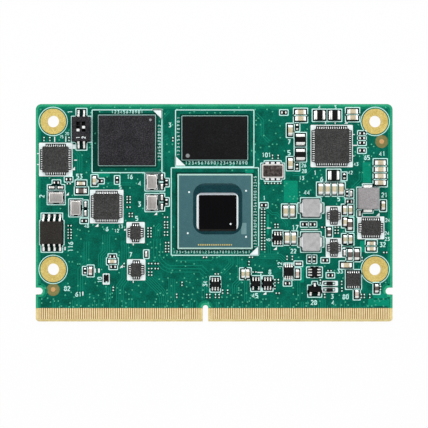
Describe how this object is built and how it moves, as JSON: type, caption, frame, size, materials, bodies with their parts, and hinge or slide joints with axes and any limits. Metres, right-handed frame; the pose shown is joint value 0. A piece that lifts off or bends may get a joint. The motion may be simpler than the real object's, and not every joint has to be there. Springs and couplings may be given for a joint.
{
  "type": "system on module",
  "caption": "Green card-edge compute module with a bare-die processor, memory and storage chips, power parts and a small slide switch",
  "frame": {"origin": "centre of the board's underside", "axes": "+X along the card edge to the right as seen from above, +Y away from the card edge, +Z out of the parts side"},
  "size_m": [0.082, 0.05, 0.0037],
  "materials": {
    "solder_mask": "green solder mask on glass-fibre laminate, satin gloss",
    "gold": "thin gold plating",
    "chip_laminate": "blue-green substrate laminate",
    "sealant": "cured sealing resin",
    "silicon": "polished silicon",
    "solder": "reflowed solder",
    "tin": "matte tin plating",
    "mould_black": "black moulding resin",
    "mould_grey": "charcoal moulding resin",
    "white_plastic": "white moulded plastic",
    "ceramic_dark": "dark fired ceramic",
    "ceramic_pale": "pale fired ceramic",
    "ceramic_tan": "tan fired ceramic",
    "lid_metal": "plated sealing lid",
    "pressed_ferrite": "pressed iron powder, painted"
  },
  "bodies": {
    "module": {"circuit_board": "solder_mask", "hole_plating": "gold", "edge_contacts_upper": "gold", "edge_contacts_lower": "gold", "fiducials": "gold", "processor_substrate": "chip_laminate", "processor_underfill": "sealant", "processor_die": "silicon", "processor_solder_balls": "solder", "memory_package": "mould_black", "memory_solder_balls": "solder", "storage_package": "mould_grey", "storage_solder_balls": "solder", "power_manager_package": "mould_grey", "power_manager_lands": "solder", "hub_package": "mould_grey", "hub_lands": "solder", "network_package": "mould_grey", "network_lands": "solder", "boot_flash_body": "mould_black", "boot_flash_leads": "tin", "switch_housing": "mould_grey", "switch_base": "mould_black", "switch_terminals": "tin", "crystal_bases": "ceramic_dark", "crystal_lids": "lid_metal", "oscillator_base": "ceramic_pale", "oscillator_lid": "lid_metal", "crystal_lands": "solder", "coil_bodies": "pressed_ferrite", "coil_terminals": "tin", "input_coil_body": "pressed_ferrite", "input_coil_terminals": "tin", "shifter_packages": "mould_grey", "shifter_lands": "solder", "regulator_packages": "mould_grey", "regulator_lands": "solder", "converter_package": "mould_grey", "converter_lands": "solder", "supervisor_body": "mould_black", "supervisor_leads": "tin", "load_switch_package": "mould_grey", "load_switch_lands": "solder", "gate_bodies": "mould_black", "gate_leads": "tin", "transistor_body": "mould_black", "transistor_leads": "tin", "diode_bodies": "mould_black", "diode_terminals": "tin", "ferrite_bodies": "mould_black", "ferrite_terminals": "tin", "capacitor_bodies": "ceramic_tan", "capacitor_terminals": "tin", "resistor_bodies": "mould_black", "load_capacitor_bodies": "ceramic_pale", "small_terminals": "tin", "miniature_bodies": "ceramic_dark", "miniature_terminals": "tin"},
    "slider_left": {"switch_slider_left": "white_plastic"},
    "slider_right": {"switch_slider_right": "white_plastic"}
  },
  "joints": [
    {"name": "slider_left_slide", "type": "slide", "parent": "module", "child": "slider_left", "axis": [0, 1, 0], "range_m": [0, 0.00065]},
    {"name": "slider_right_slide", "type": "slide", "parent": "module", "child": "slider_right", "axis": [0, 1, 0], "range_m": [-0.00065, 0]}
  ]
}
